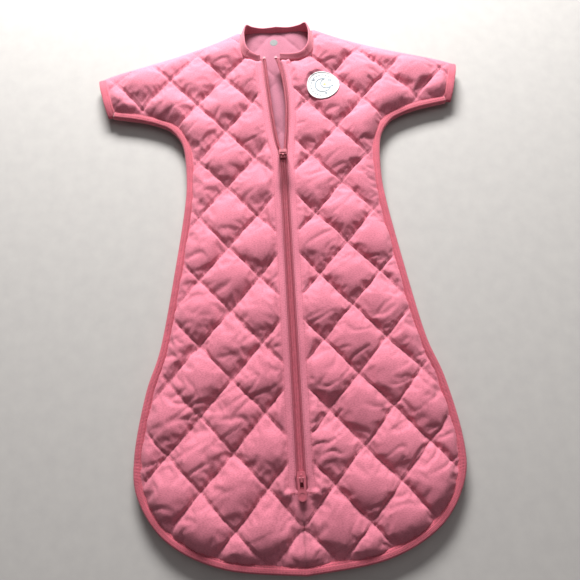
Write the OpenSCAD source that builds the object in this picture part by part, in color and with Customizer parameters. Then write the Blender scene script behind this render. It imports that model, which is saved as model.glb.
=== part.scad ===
// Quilted baby sleeping bag with short sleeves and a two-way zip, lying on its back.
// +Y runs to the neck, +Z up from the back, and the origin is under the middle of the bag.
// Left and right are as seen from above. One half is drawn outward from the zip and mirrored.

/* [Body] */
// Length from the hem to the back of the neck
bag_length = 708; // [700:1:720]
// Width across the chest, below the sleeves
chest_width = 257; // [250:1:264]
// Greatest width, near the hem
hem_width = 378; // [366:1:390]
// Span from cuff to cuff
sleeve_span = 500; // [490:1:510]
// Length of the cuff's edge, laid flat
cuff_width = 60; // [56:1:64]

/* [Layers] */
// Thickness of the outer jersey
shell_t = 1; // [0.6:0.1:1.4]
// Thickness of the padding
batting_t = 6; // [4:0.5:8]
// Thickness of the inner jersey
lining_t = 0.8; // [0.6:0.1:1.2]
// Height of the space inside the bag as it lies empty
inside_h = 5.5; // [5:0.5:8]

/* [Edges] */
// Width of the side and hem binding
binding_w = 10; // [8:0.5:12]
// Width of the cuff bands
cuff_band_w = 10; // [8:0.5:12]
// Half the width of the neck opening
neck_half = 51; // [48:1:54]
// Wall thickness of the neck band
neck_band_t = 5; // [4:0.5:6]

/* [Zip] */
// Height of the neck's front edge along the bag
neck_front_y = 289; // [286:1:292]
// Place of the top of the zip
zip_top_y = 294; // [293:1:296]
// Place of the bottom of the zip
zip_bottom_y = -262; // [-264:1:-258]
// Width of one row of the zip's coil
coil_w = 3; // [2.6:0.1:3.2]
// Rest place of the upper slider
upper_slider_y = 145; // [143:1:147]
// Rest place of the lower slider
lower_slider_y = -252; // [-253:1:-250]
// Angle of the upper pull above the zip at rest
upper_pull_lift = 60; // [50:1:70]

/* [Trim] */
// Diameter of the round chest patch
patch_d = 44; // [40:1:46]
// Diameter of the round label inside the neck
label_d = 11; // [9:1:13]

/* [Hidden] */

jersey = [0.86, 0.45, 0.53];
lining_colour = [0.88, 0.50, 0.58];
batting_colour = [0.96, 0.96, 0.94];
binding_colour = [0.75, 0.33, 0.40];
zip_colour = [0.72, 0.30, 0.37];

// Sides that a half can be drawn on.
left = -1;
right = 1;

// Clearances: between stacked layers, between neighbouring pieces, and across a fold.
layer_gap = 0.05;
seam_gap = 0.1;
fold_gap = 0.3;

half_length = bag_length / 2;
half_chest = chest_width / 2;
half_hem = hem_width / 2;
half_span = sleeve_span / 2;
flare = half_hem - half_chest;
beyond = 400;

// Heights of the layers, from the back up.
back_batting_z = shell_t + layer_gap;
back_lining_z = back_batting_z + batting_t + layer_gap;
inside_z = back_lining_z + lining_t;
front_lining_z = inside_z + inside_h;
front_batting_z = front_lining_z + lining_t + layer_gap;
front_shell_z = front_batting_z + batting_t + layer_gap;
front_top_z = front_shell_z + shell_t;

// A smooth curve through points, as Catmull-Rom spans of curve_steps chords.
curve_steps = 5;
function span(a, b, c, d, t) =
    0.5 * (2 * b + (c - a) * t + (2 * a - 5 * b + 4 * c - d) * t * t + (3 * b - a - 3 * c + d) * t * t * t);
function clamped(points, i) = points[max(0, min(len(points) - 1, i))];
function curve(points) = [
    for (i = [0 : len(points) - 2], k = [0 : curve_steps - 1])
        span(clamped(points, i - 1), points[i], points[i + 1], clamped(points, i + 2), k / curve_steps),
    points[len(points) - 1]
];

// A line moved to its left by a distance, point by point.
function heading(line, i) = clamped(line, i + 1) - clamped(line, i - 1);
function shifted(line, distance) = [
    for (i = [0 : len(line) - 1])
        line[i] + distance * [-heading(line, i)[1], heading(line, i)[0]] / norm(heading(line, i))
];
function reversed(list) = [for (i = [len(list) - 1 : -1 : 0]) list[i]];

// The bag's edge on one side: round the hem, up the flared side and out along the underarm.
cuff_low = [half_span - 15, 218];
cuff_high = cuff_low + cuff_width * [0.25, 0.968];
side_line = curve([
    [0, -half_length],
    [0.47 * half_hem, -half_length + 11],
    [0.8 * half_hem, -half_length + 41],
    [0.975 * half_hem, -half_length + 87],
    [half_hem, -half_length + 134],
    [half_chest + 0.8 * flare, -half_length + 203],
    [half_chest + 0.52 * flare, -98],
    [half_chest + 0.24 * flare, -2],
    [half_chest + 0.04 * flare, 79],
    [half_chest, 122],
    [half_chest + 4, 166],
    [half_chest + 18, 190],
    [half_chest + 36, 201],
    [half_chest + 64, 210],
    cuff_low
]);
// The same edge on both sides, from one cuff round the hem to the other.
whole_line = concat(
    [for (p = reversed(side_line)) [-p[0], p[1]]],
    [for (i = [1 : len(side_line) - 1]) side_line[i]]
);
// The shoulder seam, from the cuff to the neck.
neck_corner = [neck_half + 3, half_length - 8];
shoulder_line = curve([cuff_high, [222, 287], [150, 308], [93, 328], neck_corner]);
shoulder_wall = 2;

// The back neck edge is a shallow arch over the width of the neck.
neck_arch = 6;
neck_back_w = 8;
function neck_back_y(x) = half_length - neck_arch * pow(x / neck_corner[0], 2);
neck_back_steps = 8;
neck_back_line = [for (i = [0 : neck_back_steps]) let (x = neck_corner[0] * (1 - i / neck_back_steps))
    [x, neck_back_y(x)]];
neck_corner_r = 22;
neck_side_y = neck_front_y + neck_corner_r;
neck_front_top_z = front_top_z + 2;
neck_side_top_z = front_top_z + 6;
neck_back_top_z = inside_z + 5;

// Each coil's inner edge, outward from the middle: spread inside a slider, and open above the upper one.
slider_length = 13;
slider_spread = 1.3;
spread_from = 2;
spread_length = 4.5;
open_from_y = upper_slider_y + slider_length / 2;
coil_clear = 0.15;
open_left = 15.1;
open_right = 5.4;
closing_right = 5.5;
function opened(y) = max(0, (y - open_from_y) / (zip_top_y - open_from_y));
function spread(y) = slider_spread * min(1, max(
    0,
    (y - upper_slider_y + spread_from) / spread_length,
    (lower_slider_y + spread_from - y) / spread_length
));
function coil_edge(side, y) = coil_clear + spread(y) + (side == left
    ? open_left * pow(opened(y), 0.6)
    : open_right * sin(180 * opened(y)) - closing_right * pow(opened(y), 6));
open_steps = 16;
zip_seam_y = zip_bottom_y - 4;
edge_ys = concat(
    [zip_seam_y, lower_slider_y + spread_from - spread_length, lower_slider_y + spread_from],
    [upper_slider_y - spread_from, upper_slider_y - spread_from + spread_length, open_from_y],
    [for (i = [1 : open_steps]) open_from_y + (zip_top_y - open_from_y) * i / open_steps]
);
// The flat band beside the coil: how far out the shell starts, and how far the padding.
shell_start = 5.45;
tape_w = 12;
padding_start = tape_w + 0.6;

// The line that each lapel folds back along, outward from the middle.
fold_low = [6.5, -129];
fold_slope = 0.0711;
lapel_low_y = -110;
lapel_padding_low_y = 0;
function fold_x(y) = fold_low[0] + fold_slope * (y - fold_low[1]);

// Heights of the zip: the coil stands on its tape, inside the slider.
tape_t = 0.55;
tape_z = front_shell_z - layer_gap - tape_t;
coil_z = front_shell_z;
coil_h = 1.8;
slider_w = 10;
plate_t = 1.1;
plate_gap = 0.35;
lower_plate_z = tape_z - plate_gap - plate_t;
upper_plate_z = coil_z + coil_h + plate_gap;
upper_plate_top_z = upper_plate_z + plate_t;
flange_x = 3.6;
flange_t = 0.8;
wedge_w = 1.8;
bridge_w = 2.2;
bridge_length = 8;
bridge_h = 3.5;
window_length = 5;
window_h = 2.3;
pull_pin_r = 0.75;
pull_pin_z = upper_plate_top_z + 1.4;
pull_t = 1.4;
pull_length = 24;
pull_w = 9.4;
pull_slot_w = 4.4;
pull_slot_length = 12;
pull_recess = 0.4;

patch_at = [60, 246];
patch_t = 0.6;
label_at = [-4, 328];
label_t = 0.2;

module half(side) {
    mirror([side < 0 ? 1 : 0, 0, 0]) children();
}

// Flat strip between a line and the same line moved inward.
module strip(line, from, to) {
    polygon(concat(shifted(line, from), reversed(shifted(line, to))));
}

// The whole plan of one half, out to its edges.
module half_plan() {
    polygon(concat(side_line, shoulder_line, neck_back_line));
}

module cuff_plan(extra) {
    along = (cuff_high - cuff_low) / norm(cuff_high - cuff_low);
    inward = [-along[1], along[0]] * (cuff_band_w + extra);
    outward = -inward;
    low = cuff_low - along * 20;
    high = cuff_high + along * 20;
    polygon([low + outward, high + outward, high + inward, low + inward]);
}

module neck_back_plan(extra) {
    polygon(concat(
        [[0, half_length + 1]],
        [[neck_corner[0], half_length + 1]],
        [for (p = neck_back_line) p - [0, neck_back_w + extra]]
    ));
}

// What is left of a half for the padded layers, inside its binding, cuff, shoulder seam and back neck.
module panel_plan() {
    difference() {
        half_plan();
        strip(whole_line, -1, binding_w + seam_gap);
        strip(shoulder_line, -1, shoulder_wall + seam_gap);
        cuff_plan(seam_gap);
        neck_back_plan(seam_gap);
    }
}

// The neck opening from above: a rounded U, drawn smaller by a margin.
module neck_hole(margin) {
    w = neck_half - margin;
    r = neck_corner_r - margin;
    translate([-w, neck_front_y + neck_corner_r]) square([2 * w, 100]);
    translate([-w + r, neck_front_y + margin]) square([2 * (w - r), 100]);
    for (x = [-w + r, w - r])
        translate([x, neck_front_y + neck_corner_r]) circle(r, $fn = 64);
}

// Everything further out than the zip by an offset. Below the zip the two fronts meet in a seam.
module outside_zip(side, offset_x) {
    polygon(concat(
        [[seam_gap / 2, -half_length], [seam_gap / 2, zip_seam_y], [offset_x, zip_seam_y]],
        [for (y = edge_ys) [coil_edge(side, y) + offset_x, y]],
        [[coil_edge(side, zip_top_y) + offset_x, half_length]],
        [[beyond, half_length], [beyond, -half_length]]
    ));
}

// The lapel's side of the fold line, above a given height.
module lapel_side(low_y) {
    top_y = half_length;
    gap = fold_gap / 2;
    polygon([[-beyond, low_y], [fold_x(low_y) - gap, low_y], [fold_x(top_y) - gap, top_y], [-beyond, top_y]]);
}

module main_side() {
    top_y = half_length;
    gap = fold_gap / 2;
    cut_y = lapel_low_y - fold_gap;
    polygon([
        [0, -half_length], [beyond, -half_length], [beyond, top_y],
        [fold_x(top_y) + gap, top_y], [fold_x(cut_y) + gap, cut_y], [0, cut_y]
    ]);
}

// One layer of a front, without its lapel.
module front_layer(side, z, thickness, start) {
    half(side) translate([0, 0, z]) linear_extrude(thickness) difference() {
        intersection() {
            panel_plan();
            outside_zip(side, start);
            main_side();
        }
        neck_hole(0);
    }
}

// The same layer of the lapel, which folds back.
module lapel_layer(side, z, thickness, start, low_y) {
    half(side) translate([0, 0, z]) linear_extrude(thickness) difference() {
        intersection() {
            panel_plan();
            outside_zip(side, start);
            lapel_side(low_y);
        }
        neck_hole(0);
    }
}

module back_layer(z, thickness) {
    translate([0, 0, z]) linear_extrude(thickness) union() {
        half(right) panel_plan();
        half(left) panel_plan();
    }
}

// The shell turns up along the shoulders, where it is sewn to the front.
module back_shell() {
    color(jersey) union() {
        back_layer(0, shell_t);
        for (side = [left, right])
            half(side) linear_extrude(front_top_z) difference() {
                strip(shoulder_line, 0, shoulder_wall + seam_gap);
                cuff_plan(seam_gap);
                neck_back_plan(seam_gap);
            }
    }
}

module back_batting() {
    color(batting_colour) back_layer(back_batting_z, batting_t);
}

module back_lining() {
    color(lining_colour) back_layer(back_lining_z, lining_t);
}

module left_front_shell() {
    color(jersey) front_layer(left, front_shell_z, shell_t, shell_start);
}

module left_front_batting() {
    color(batting_colour) front_layer(left, front_batting_z, batting_t, padding_start);
}

module left_front_lining() {
    color(lining_colour) front_layer(left, front_lining_z, lining_t, padding_start);
}

module right_front_shell() {
    color(jersey) front_layer(right, front_shell_z, shell_t, shell_start);
}

module right_front_batting() {
    color(batting_colour) front_layer(right, front_batting_z, batting_t, padding_start);
}

module right_front_lining() {
    color(lining_colour) front_layer(right, front_lining_z, lining_t, padding_start);
}

module left_lapel_shell() {
    color(jersey) lapel_layer(left, front_shell_z, shell_t, shell_start, lapel_low_y);
}

module left_lapel_batting() {
    color(batting_colour)
        lapel_layer(left, front_batting_z, batting_t, padding_start, lapel_padding_low_y);
}

module left_lapel_lining() {
    color(lining_colour)
        lapel_layer(left, front_lining_z, lining_t, padding_start, lapel_padding_low_y);
}

module right_lapel_shell() {
    color(jersey) lapel_layer(right, front_shell_z, shell_t, shell_start, lapel_low_y);
}

module right_lapel_batting() {
    color(batting_colour)
        lapel_layer(right, front_batting_z, batting_t, padding_start, lapel_padding_low_y);
}

module right_lapel_lining() {
    color(lining_colour)
        lapel_layer(right, front_lining_z, lining_t, padding_start, lapel_padding_low_y);
}

// The binding closes the bag's edge, and is cut back in steps as a rolled edge is round.
module side_and_hem_binding() {
    under_h = 2;
    under_cut = 0.25;
    // Each step over the front: how high it starts, and how far in it is cut, as shares.
    top_steps = [[0.6, 0.25], [0.8, 0.55]];
    color(binding_colour) difference() {
        linear_extrude(front_top_z) strip(whole_line, 0, binding_w);
        translate([0, 0, -1]) linear_extrude(under_h + 1) strip(whole_line, -1, under_cut * binding_w);
        for (step = top_steps)
            translate([0, 0, step[0] * front_top_z]) linear_extrude(front_top_z)
                strip(whole_line, -1, step[1] * binding_w);
        for (side = [left, right])
            half(side) translate([0, 0, -1]) linear_extrude(front_top_z + 2) cuff_plan(seam_gap);
    }
}

// A band round the sleeve's end, open where the arm comes out.
module cuff_band(side) {
    along = (cuff_high - cuff_low) / norm(cuff_high - cuff_low);
    edge = 5;
    color(binding_colour) half(side) difference() {
        linear_extrude(front_top_z) intersection() {
            half_plan();
            cuff_plan(0);
        }
        translate([0, 0, inside_z]) linear_extrude(inside_h)
            intersection() {
                cuff_plan(1);
                polygon([
                    cuff_low + along * edge - [40, 0], cuff_low + along * edge + [40, 10],
                    cuff_high - along * edge + [40, 0], cuff_high - along * edge - [40, -10]
                ]);
            }
    }
}

module left_cuff_band() {
    cuff_band(left);
}

module right_cuff_band() {
    cuff_band(right);
}

module neck_ring_plan() {
    difference() {
        neck_hole(seam_gap);
        neck_hole(neck_band_t);
    }
}

// The rib round the neck: behind the neck, over both shoulders and down to the fold lines.
module neck_band() {
    color(binding_colour) union() {
        for (side = [left, right]) half(side) {
            linear_extrude(neck_back_top_z) intersection() {
                half_plan();
                neck_back_plan(0);
            }
            translate([0, 0, inside_z + seam_gap])
                linear_extrude(neck_side_top_z - inside_z - seam_gap) intersection() {
                    neck_ring_plan();
                    translate([0, neck_side_y]) square([beyond, half_length - 10 - neck_side_y]);
                }
            translate([0, 0, front_lining_z])
                linear_extrude(neck_front_top_z - front_lining_z) intersection() {
                    neck_ring_plan();
                    main_side();
                    translate([0, neck_front_y]) square([beyond, neck_corner_r]);
                }
        }
    }
}

module neck_band_end(side) {
    color(binding_colour) half(side) translate([0, 0, front_lining_z])
        linear_extrude(neck_front_top_z - front_lining_z) intersection() {
            neck_ring_plan();
            outside_zip(side, tape_w + seam_gap);
            lapel_side(neck_front_y);
        }
}

module left_neck_band_end() {
    neck_band_end(left);
}

module right_neck_band_end() {
    neck_band_end(right);
}

// A strip that follows the zip between two offsets from the coil's inner edge.
module zip_strip(side, from, to, low_y, high_y) {
    ys = concat([low_y], [for (y = edge_ys) if (y > low_y + 1 && y < high_y - 1) y], [high_y]);
    polygon(concat(
        [for (y = ys) [coil_edge(side, y) + from, y]],
        [for (y = reversed(ys)) [coil_edge(side, y) + to, y]]
    ));
}

module main_tape(side) {
    color(zip_colour) half(side) translate([0, 0, tape_z]) linear_extrude(tape_t)
        zip_strip(side, 0.15, tape_w, zip_bottom_y, lapel_low_y - fold_gap);
}

module lapel_tape(side) {
    color(zip_colour) half(side) translate([0, 0, tape_z]) linear_extrude(tape_t)
        intersection() {
            zip_strip(side, 0.15, tape_w, lapel_low_y, zip_top_y);
            lapel_side(lapel_low_y);
        }
}

module main_coil(side) {
    color(zip_colour) half(side) translate([0, 0, coil_z]) linear_extrude(coil_h)
        zip_strip(side, 0, coil_w, zip_bottom_y, lapel_low_y - fold_gap);
}

module lapel_coil(side) {
    stop_space = 3.2;
    color(zip_colour) half(side) translate([0, 0, coil_z]) linear_extrude(coil_h)
        zip_strip(side, 0, coil_w, lapel_low_y, zip_top_y - stop_space);
}

module left_zip_tape() {
    main_tape(left);
}

module right_zip_tape() {
    main_tape(right);
}

module left_lapel_zip_tape() {
    lapel_tape(left);
}

module right_lapel_zip_tape() {
    lapel_tape(right);
}

module left_zip_coil() {
    main_coil(left);
}

module right_zip_coil() {
    main_coil(right);
}

module left_lapel_zip_coil() {
    lapel_coil(left);
}

module right_lapel_zip_coil() {
    lapel_coil(right);
}

module top_stop(side) {
    stop_l = 3;
    color(zip_colour) half(side)
        translate([coil_edge(side, zip_top_y), zip_top_y - stop_l, coil_z])
            cube([coil_w + 0.4, stop_l, coil_h + 0.5]);
}

module left_top_stop() {
    top_stop(left);
}

module right_top_stop() {
    top_stop(right);
}

module bottom_stop() {
    stop_l = 2.8;
    stop_half = coil_edge(right, zip_bottom_y) + coil_w;
    color(zip_colour)
        translate([-stop_half, zip_bottom_y - seam_gap - stop_l, coil_z])
            cube([2 * stop_half, stop_l, coil_h + 0.5]);
}

// One plate of a slider: broad at the end where the coils part, narrower where they are joined.
module slider_plate(thickness) {
    nose = slider_length / 2;
    tail_w = slider_w * 0.36;
    linear_extrude(thickness) polygon([
        [-slider_w / 2 + 1, nose], [0, nose - 1.6], [slider_w / 2 - 1, nose], [slider_w / 2, nose - 1.5],
        [slider_w / 2, 0], [tail_w + 0.8, -nose + 1], [tail_w, -nose],
        [-tail_w, -nose], [-tail_w - 0.8, -nose + 1], [-slider_w / 2, 0], [-slider_w / 2, nose - 1.5]
    ]);
}

// A slider round both coils: a wedge parts them, flanges close them, and a bridge holds the pull's pin.
module slider() {
    flange_z = front_shell_z + plate_gap;
    color(zip_colour) difference() {
        union() {
            translate([0, 0, lower_plate_z]) slider_plate(plate_t);
            translate([0, 0, upper_plate_z]) slider_plate(plate_t);
            translate([-wedge_w / 2, 1.6, lower_plate_z + plate_t / 2])
                cube([wedge_w, 3, upper_plate_z - lower_plate_z]);
            for (x = [-flange_x - flange_t, flange_x])
                translate([x, -5.2, flange_z]) cube([flange_t, 4.2, upper_plate_z - flange_z + plate_t / 2]);
            translate([-bridge_w / 2, -bridge_length / 2, upper_plate_z + plate_t / 2])
                cube([bridge_w, bridge_length, bridge_h + plate_t / 2]);
        }
        translate([-bridge_w, -window_length / 2, upper_plate_top_z])
            cube([2 * bridge_w, window_length, window_h + 0.2]);
    }
}

// A pull with its pin on the X axis and its tab along -Y: two arms round a slot, then a round-ended tab.
module pull() {
    end_r = pull_w / 2;
    color(zip_colour) union() {
        rotate([0, 90, 0]) translate([0, 0, -pull_slot_w / 2 - 0.6])
            cylinder(r = pull_pin_r, h = pull_slot_w + 1.2, $fn = 32);
        difference() {
            translate([0, 0, -pull_t / 2]) linear_extrude(pull_t) difference() {
                union() {
                    translate([-end_r, -pull_length + end_r]) square([pull_w, pull_length - end_r + 0.7]);
                    translate([0, -pull_length + end_r]) circle(end_r, $fn = 64);
                }
                translate([-pull_slot_w / 2, -pull_slot_length]) square([pull_slot_w, pull_slot_length + 2]);
            }
            translate([0, -pull_length + end_r + 1, pull_t / 2 - pull_recess])
                cylinder(r = end_r - 1.5, h = 1, $fn = 48);
        }
    }
}

module upper_slider() {
    translate([0, upper_slider_y, 0]) slider();
}

module upper_pull() {
    translate([0, upper_slider_y, pull_pin_z]) rotate([-upper_pull_lift, 0, 0]) pull();
}

// The lower slider faces the other way, so that its broad end opens the zip from the hem.
module lower_slider() {
    translate([0, lower_slider_y, 0]) rotate([0, 0, 180]) slider();
}

module lower_pull() {
    translate([0, lower_slider_y, pull_pin_z]) pull();
}

module chest_patch() {
    color("white") translate([patch_at[0], patch_at[1], front_top_z + layer_gap])
        cylinder(d = patch_d, h = patch_t, $fn = 96);
}

module neck_label() {
    color("silver") translate([label_at[0], label_at[1], inside_z + layer_gap])
        cylinder(d = label_d, h = label_t, $fn = 64);
}

back_shell();
back_batting();
back_lining();
left_front_shell();
left_front_batting();
left_front_lining();
right_front_shell();
right_front_batting();
right_front_lining();
left_lapel_shell();
left_lapel_batting();
left_lapel_lining();
right_lapel_shell();
right_lapel_batting();
right_lapel_lining();
side_and_hem_binding();
left_cuff_band();
right_cuff_band();
neck_band();
left_neck_band_end();
right_neck_band_end();
left_zip_tape();
right_zip_tape();
left_lapel_zip_tape();
right_lapel_zip_tape();
left_zip_coil();
right_zip_coil();
left_lapel_zip_coil();
right_lapel_zip_coil();
left_top_stop();
right_top_stop();
bottom_stop();
upper_slider();
upper_pull();
lower_slider();
lower_pull();
chest_patch();
neck_label();
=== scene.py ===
"""Quilted baby sleeping bag: the visible cloth, padding, zip and trim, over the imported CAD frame.

Lengths in this file are millimetres until a mesh is made. X is across the bag, Y runs to the neck, Z is up.
"""
import math

import bpy
import numpy as np
from mathutils import Matrix, Vector


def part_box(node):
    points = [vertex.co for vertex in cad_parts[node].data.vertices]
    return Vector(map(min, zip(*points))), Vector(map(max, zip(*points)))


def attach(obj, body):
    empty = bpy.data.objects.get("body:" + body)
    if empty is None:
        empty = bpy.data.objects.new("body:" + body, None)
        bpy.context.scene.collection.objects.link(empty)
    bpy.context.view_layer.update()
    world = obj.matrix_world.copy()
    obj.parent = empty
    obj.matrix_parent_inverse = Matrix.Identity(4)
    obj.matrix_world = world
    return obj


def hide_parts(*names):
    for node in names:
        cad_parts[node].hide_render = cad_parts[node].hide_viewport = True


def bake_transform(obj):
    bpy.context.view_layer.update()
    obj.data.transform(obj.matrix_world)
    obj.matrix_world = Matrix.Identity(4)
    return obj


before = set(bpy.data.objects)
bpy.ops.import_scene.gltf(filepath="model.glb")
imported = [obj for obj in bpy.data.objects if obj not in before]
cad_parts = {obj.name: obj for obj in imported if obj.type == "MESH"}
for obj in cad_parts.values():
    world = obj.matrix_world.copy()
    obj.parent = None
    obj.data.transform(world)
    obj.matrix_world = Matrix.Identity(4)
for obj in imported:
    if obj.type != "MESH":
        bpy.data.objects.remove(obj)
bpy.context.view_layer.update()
MM = 0.001
LEFT, RIGHT = -1, 1
SIDES = {LEFT: "left", RIGHT: "right"}


def low(node):
    return np.array(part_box(node)[0]) / MM


def high(node):
    return np.array(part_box(node)[1]) / MM


def round_node(node):
    """The middle and the radius of a flat round node."""
    return (low(node)[:2] + high(node)[:2]) / 2, (high(node)[0] - low(node)[0]) / 2


# ---- sizes, from the frame

HALF_LENGTH = high("neck_band")[1]
HALF_HEM = 189.0
HALF_SPAN = high("right_cuff_band")[0]
HALF_CHEST = 128.5
FLARE = HALF_HEM - HALF_CHEST
ZIP_TOP = high("right_top_stop")[1]
ZIP_BOTTOM = high("bottom_stop")[1]
TAPE_TOP_Z = high("right_zip_tape")[2]
COIL_TOP_Z = high("right_zip_coil")[2]
FRONT_Z = high("right_front_shell")[2]
INSIDE_Z = high("back_lining")[2]
FRONT_LINING_Z = low("right_front_lining")[2]
UPPER_Y = (low("upper_slider")[1] + high("upper_slider")[1]) / 2
LOWER_Y = (low("lower_slider")[1] + high("lower_slider")[1]) / 2
NECK_HALF = 51.0
NECK_FRONT_Y = 289.0
NECK_R = 22.0
SHELL_START = 5.45
TAPE_W = 12.0
DIAMOND_X, DIAMOND_Y, DIAMOND_Y0 = 37.5, 40.8, -303.5
DIAMOND_SIDE = math.hypot(DIAMOND_X, DIAMOND_Y)
FOLD_TIP = np.array([0.0, -150.0])
FOLD_SLOPE = 0.0823

# ---- small tools

columns = np.column_stack
TABLE = np.random.default_rng(11).random((256, 256))


def noise(x, y, scale, seed=0):
    """Smooth noise from -1 to 1, with bumps about as wide as scale."""
    u, v = x / scale + 37.1 * seed, y / scale + 11.7 * seed
    i, j = np.floor(u).astype(int), np.floor(v).astype(int)
    f, g = u - i, v - j
    f, g = f * f * (3 - 2 * f), g * g * (3 - 2 * g)

    def at(a, b):
        return TABLE[a % 256, b % 256]

    bottom = at(i, j) * (1 - f) + at(i + 1, j) * f
    top = at(i, j + 1) * (1 - f) + at(i + 1, j + 1) * f
    return 2 * (bottom * (1 - g) + top * g) - 1


def unit(v):
    return v / np.linalg.norm(v, axis=-1, keepdims=True)


def distance_along(line):
    return np.concatenate([[0], np.cumsum(np.linalg.norm(np.diff(line, axis=0), axis=1))])


def ease(t):
    t = np.clip(t, 0, 1)
    return t * t * (3 - 2 * t)


def bulge(t):
    """Steep at first and then level, as filled cloth rises from a seam."""
    t = np.clip(t, 0, 1)
    return 1 - (1 - t) ** 2.2


def catmull(points, steps):
    p = np.array(points, float)
    q = np.vstack([p[:1], p, p[-1:]])
    out = []
    t = np.arange(steps)[:, None] / steps
    for i in range(len(p) - 1):
        a, b, c, d = q[i : i + 4]
        out.append(
            0.5 * (2 * b + (c - a) * t + (2 * a - 5 * b + 4 * c - d) * t**2 + (3 * b - a - 3 * c + d) * t**3)
        )
    out.append(p[-1:])
    return np.vstack(out)


def evenly(line, step):
    """The same line, with points about a step apart."""
    line = np.asarray(line, float)
    run = distance_along(line)
    n = max(2, int(round(run[-1] / step)) + 1)
    at = np.linspace(0, run[-1], n)
    return columns([np.interp(at, run, line[:, k]) for k in range(line.shape[1])])


def nearest(points, line):
    """How far each point is from a line, and the nearest place on it."""
    best = np.full(len(points), 1e9)
    place = np.zeros((len(points), 2))
    for s, e in zip(line[:-1], line[1:]):
        v = e - s
        t = np.clip(((points - s) @ v) / max(v @ v, 1e-12), 0, 1)
        q = s + t[:, None] * v
        r = np.hypot(points[:, 0] - q[:, 0], points[:, 1] - q[:, 1])
        m = r < best
        best[m] = r[m]
        place[m] = q[m]
    return best, place


def inside(points, ring):
    """Which points lie inside a closed ring."""
    x, y = points[:, 0], points[:, 1]
    odd = np.zeros(len(points), bool)
    for (ax, ay), (bx, by) in zip(ring, np.roll(ring, -1, axis=0)):
        if ay == by:
            continue
        crosses = (ay > y) != (by > y)
        odd ^= crosses & (x < (bx - ax) * (y - ay) / (by - ay) + ax)
    return odd


def placed(name, data):
    obj = bpy.data.objects.new(name, data)
    bpy.context.scene.collection.objects.link(obj)
    return obj


def fixed(piece, slot, *nodes):
    """Fixes a piece to the bag's own body, in the place of the CAD nodes named."""
    if nodes:
        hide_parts(*nodes)
    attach(piece, "bag")


def mesh_object(name, verts, faces, materials, uv=None, face_slots=None):
    """A mesh from points in millimetres. uv holds a pair in metres for each point, or is left as the plan."""
    mesh = bpy.data.meshes.new(name)
    mesh.from_pydata((np.asarray(verts, float) * MM).tolist(), [], [list(map(int, f)) for f in faces])
    for m in materials:
        mesh.materials.append(m)
    if face_slots is not None:
        mesh.polygons.foreach_set("material_index", np.asarray(face_slots, np.int32))
    uv = np.asarray(verts)[:, :2] * MM if uv is None else np.asarray(uv, float)
    index = np.empty(len(mesh.loops), np.int32)
    mesh.loops.foreach_get("vertex_index", index)
    mesh.uv_layers.new(name="Plan").data.foreach_set("uv", uv[index].astype(np.float32).ravel())
    mesh.polygons.foreach_set("use_smooth", np.array([len(f) < 5 for f in faces]))
    mesh.validate()
    mesh.update()
    return placed(name, mesh)


def round_points(n, turn=0.0):
    """Points round a circle of radius 1."""
    t = np.linspace(0, 2 * np.pi, n, endpoint=False) + turn
    return columns([np.cos(t), np.sin(t)])


def swept(rings, closed_along=False, flip=False):
    """Points and faces of a tube through rings, each an array of points, with capped ends."""
    rings = np.asarray(rings, float)
    n_rings, n_round = rings.shape[:2]
    faces = []
    for r in range(n_rings if closed_along else n_rings - 1):
        a, b = r * n_round, ((r + 1) % n_rings) * n_round
        for k in range(n_round):
            k2 = (k + 1) % n_round
            faces.append((a + k, a + k2, b + k2, b + k))
    if not closed_along:
        faces.append(tuple(range(n_round - 1, -1, -1)))
        faces.append(tuple(range((n_rings - 1) * n_round, n_rings * n_round)))
    return rings.reshape(-1, 3), [f[::-1] for f in faces] if flip else faces


def disc(centre, radius, rings, n):
    """Points of a flat disc from the middle out, n to a ring, and its faces."""
    circle = round_points(n)
    points = np.vstack([[centre]] + [centre + radius * k / rings * circle for k in range(1, rings + 1)])
    faces = [(0, 1 + k, 1 + (k + 1) % n) for k in range(n)]
    for r in range(rings - 1):
        a, b = 1 + r * n, 1 + (r + 1) * n
        faces += [(a + k, b + k, b + (k + 1) % n, a + (k + 1) % n) for k in range(n)]
    return points, faces


def joined(parts):
    """Points and faces of several meshes in one."""
    verts, faces, at = [], [], 0
    for v, f in parts:
        verts.append(np.asarray(v, float))
        faces += [tuple(i + at for i in face) for face in f]
        at += len(v)
    return np.vstack(verts), faces


# ---- the bag's plan

CUFF_LOW = np.array([HALF_SPAN - 15, 218.0])
CUFF_HIGH = np.array([HALF_SPAN, 276.1])
CUFF_ALONG = unit(CUFF_HIGH - CUFF_LOW)
CUFF_IN = np.array([-CUFF_ALONG[1], CUFF_ALONG[0]])
SIDE_LINE = catmull(
    [
        (0, -HALF_LENGTH), (0.47 * HALF_HEM, -HALF_LENGTH + 11), (0.8 * HALF_HEM, -HALF_LENGTH + 41),
        (0.975 * HALF_HEM, -HALF_LENGTH + 87), (HALF_HEM, -HALF_LENGTH + 134),
        (HALF_CHEST + 0.8 * FLARE, -HALF_LENGTH + 203), (HALF_CHEST + 0.52 * FLARE, -98),
        (HALF_CHEST + 0.24 * FLARE, -2), (HALF_CHEST + 0.04 * FLARE, 79), (HALF_CHEST, 122),
        (HALF_CHEST + 4, 166), (HALF_CHEST + 18, 190), (HALF_CHEST + 36, 201), (HALF_CHEST + 64, 210),
        CUFF_LOW,
    ],
    8,
)
NECK_CORNER = np.array([NECK_HALF + 3, HALF_LENGTH - 8])
SHOULDER_LINE = catmull([CUFF_HIGH, (222, 287), (150, 308), (93, 328), NECK_CORNER], 8)

def neck_back_y(x):
    """How far back the quilt reaches behind the neck, in a shallow curve."""
    return HALF_LENGTH - 6 * np.minimum(np.abs(x) / NECK_CORNER[0], 1) ** 2


NECK_BACK = np.array([(x, neck_back_y(x)) for x in np.linspace(NECK_CORNER[0], 0, 9)])
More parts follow.
